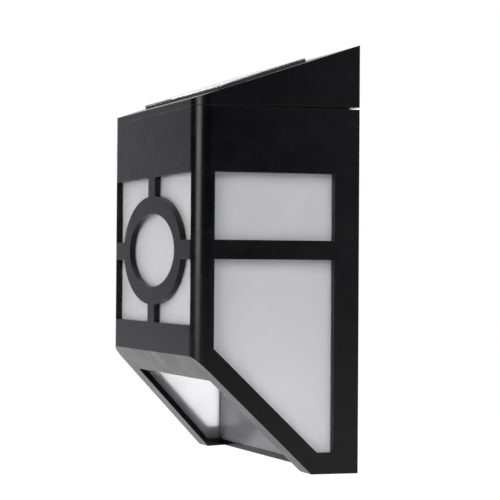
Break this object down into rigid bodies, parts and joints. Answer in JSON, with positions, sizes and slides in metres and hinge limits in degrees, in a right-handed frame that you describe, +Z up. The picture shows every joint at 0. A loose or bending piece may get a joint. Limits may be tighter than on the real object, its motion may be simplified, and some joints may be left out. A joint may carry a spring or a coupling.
{
  "type": "solar fence light",
  "caption": "Tapered wall or fence light with pierced frosted windows on three sides, an open sloped underside and a lift-off wedge cap with a solar panel.",
  "frame": {"origin": "midway between the two wall keyholes, on the plane of the fence", "axes": "+X to the right seen from the front, +Y into the fence, +Z up"},
  "size_m": [0.1068, 0.0578, 0.1508],
  "materials": {
    "black_plastic": "fine satin moulding",
    "frosted": "frosted translucent",
    "tray_plastic": "satin",
    "screw_steel": "zinc plated",
    "battery_wrap": "plain wrap",
    "contact_metal": "nickel plated",
    "board_green": "solder mask",
    "chip_black": "moulded",
    "coil_copper": "lacquered",
    "led_lens": "clear dome",
    "switch_case": "moulded",
    "switch_knob": "moulded",
    "panel_base": "laminate",
    "panel_clear": "clear resin",
    "cell_blue": "silicon",
    "wire_red": "insulation",
    "wire_black": "insulation"
  },
  "bodies": {
    "housing": {"housing": "black_plastic", "liner": "frosted"},
    "cap": {"cap_shell": "black_plastic", "tray": "tray_plastic", "tray_screws": "screw_steel", "battery": "battery_wrap", "battery_contact": "contact_metal", "battery_spring": "contact_metal", "circuit_board": "board_green", "driver_chip": "chip_black", "inductor": "coil_copper", "led_left": "led_lens", "led_right": "led_lens", "switch_body": "switch_case", "panel_backing": "panel_base", "panel_cover": "panel_clear", "panel_wire_left": "wire_black", "panel_wire_right": "wire_red", "solar_cell_1": "cell_blue", "solar_cell_2": "cell_blue", "solar_cell_3": "cell_blue", "solar_cell_4": "cell_blue", "solar_cell_5": "cell_blue", "solar_cell_6": "cell_blue", "solar_cell_7": "cell_blue", "solar_cell_8": "cell_blue"},
    "battery_door": {"battery_door": "tray_plastic", "door_screw": "screw_steel"},
    "switch_slider": {"switch_slider": "switch_knob"}
  },
  "joints": [
    {"name": "cap_lift", "type": "slide", "parent": "housing", "child": "cap", "axis": [0, 0, 1], "range_m": [0, 0.032]},
    {"name": "door_off", "type": "slide", "parent": "cap", "child": "battery_door", "axis": [0, 0, -1], "range_m": [0, 0.015]},
    {"name": "switch_slide", "type": "slide", "parent": "cap", "child": "switch_slider", "axis": [1, 0, 0], "range_m": [0, 0.0025]}
  ]
}
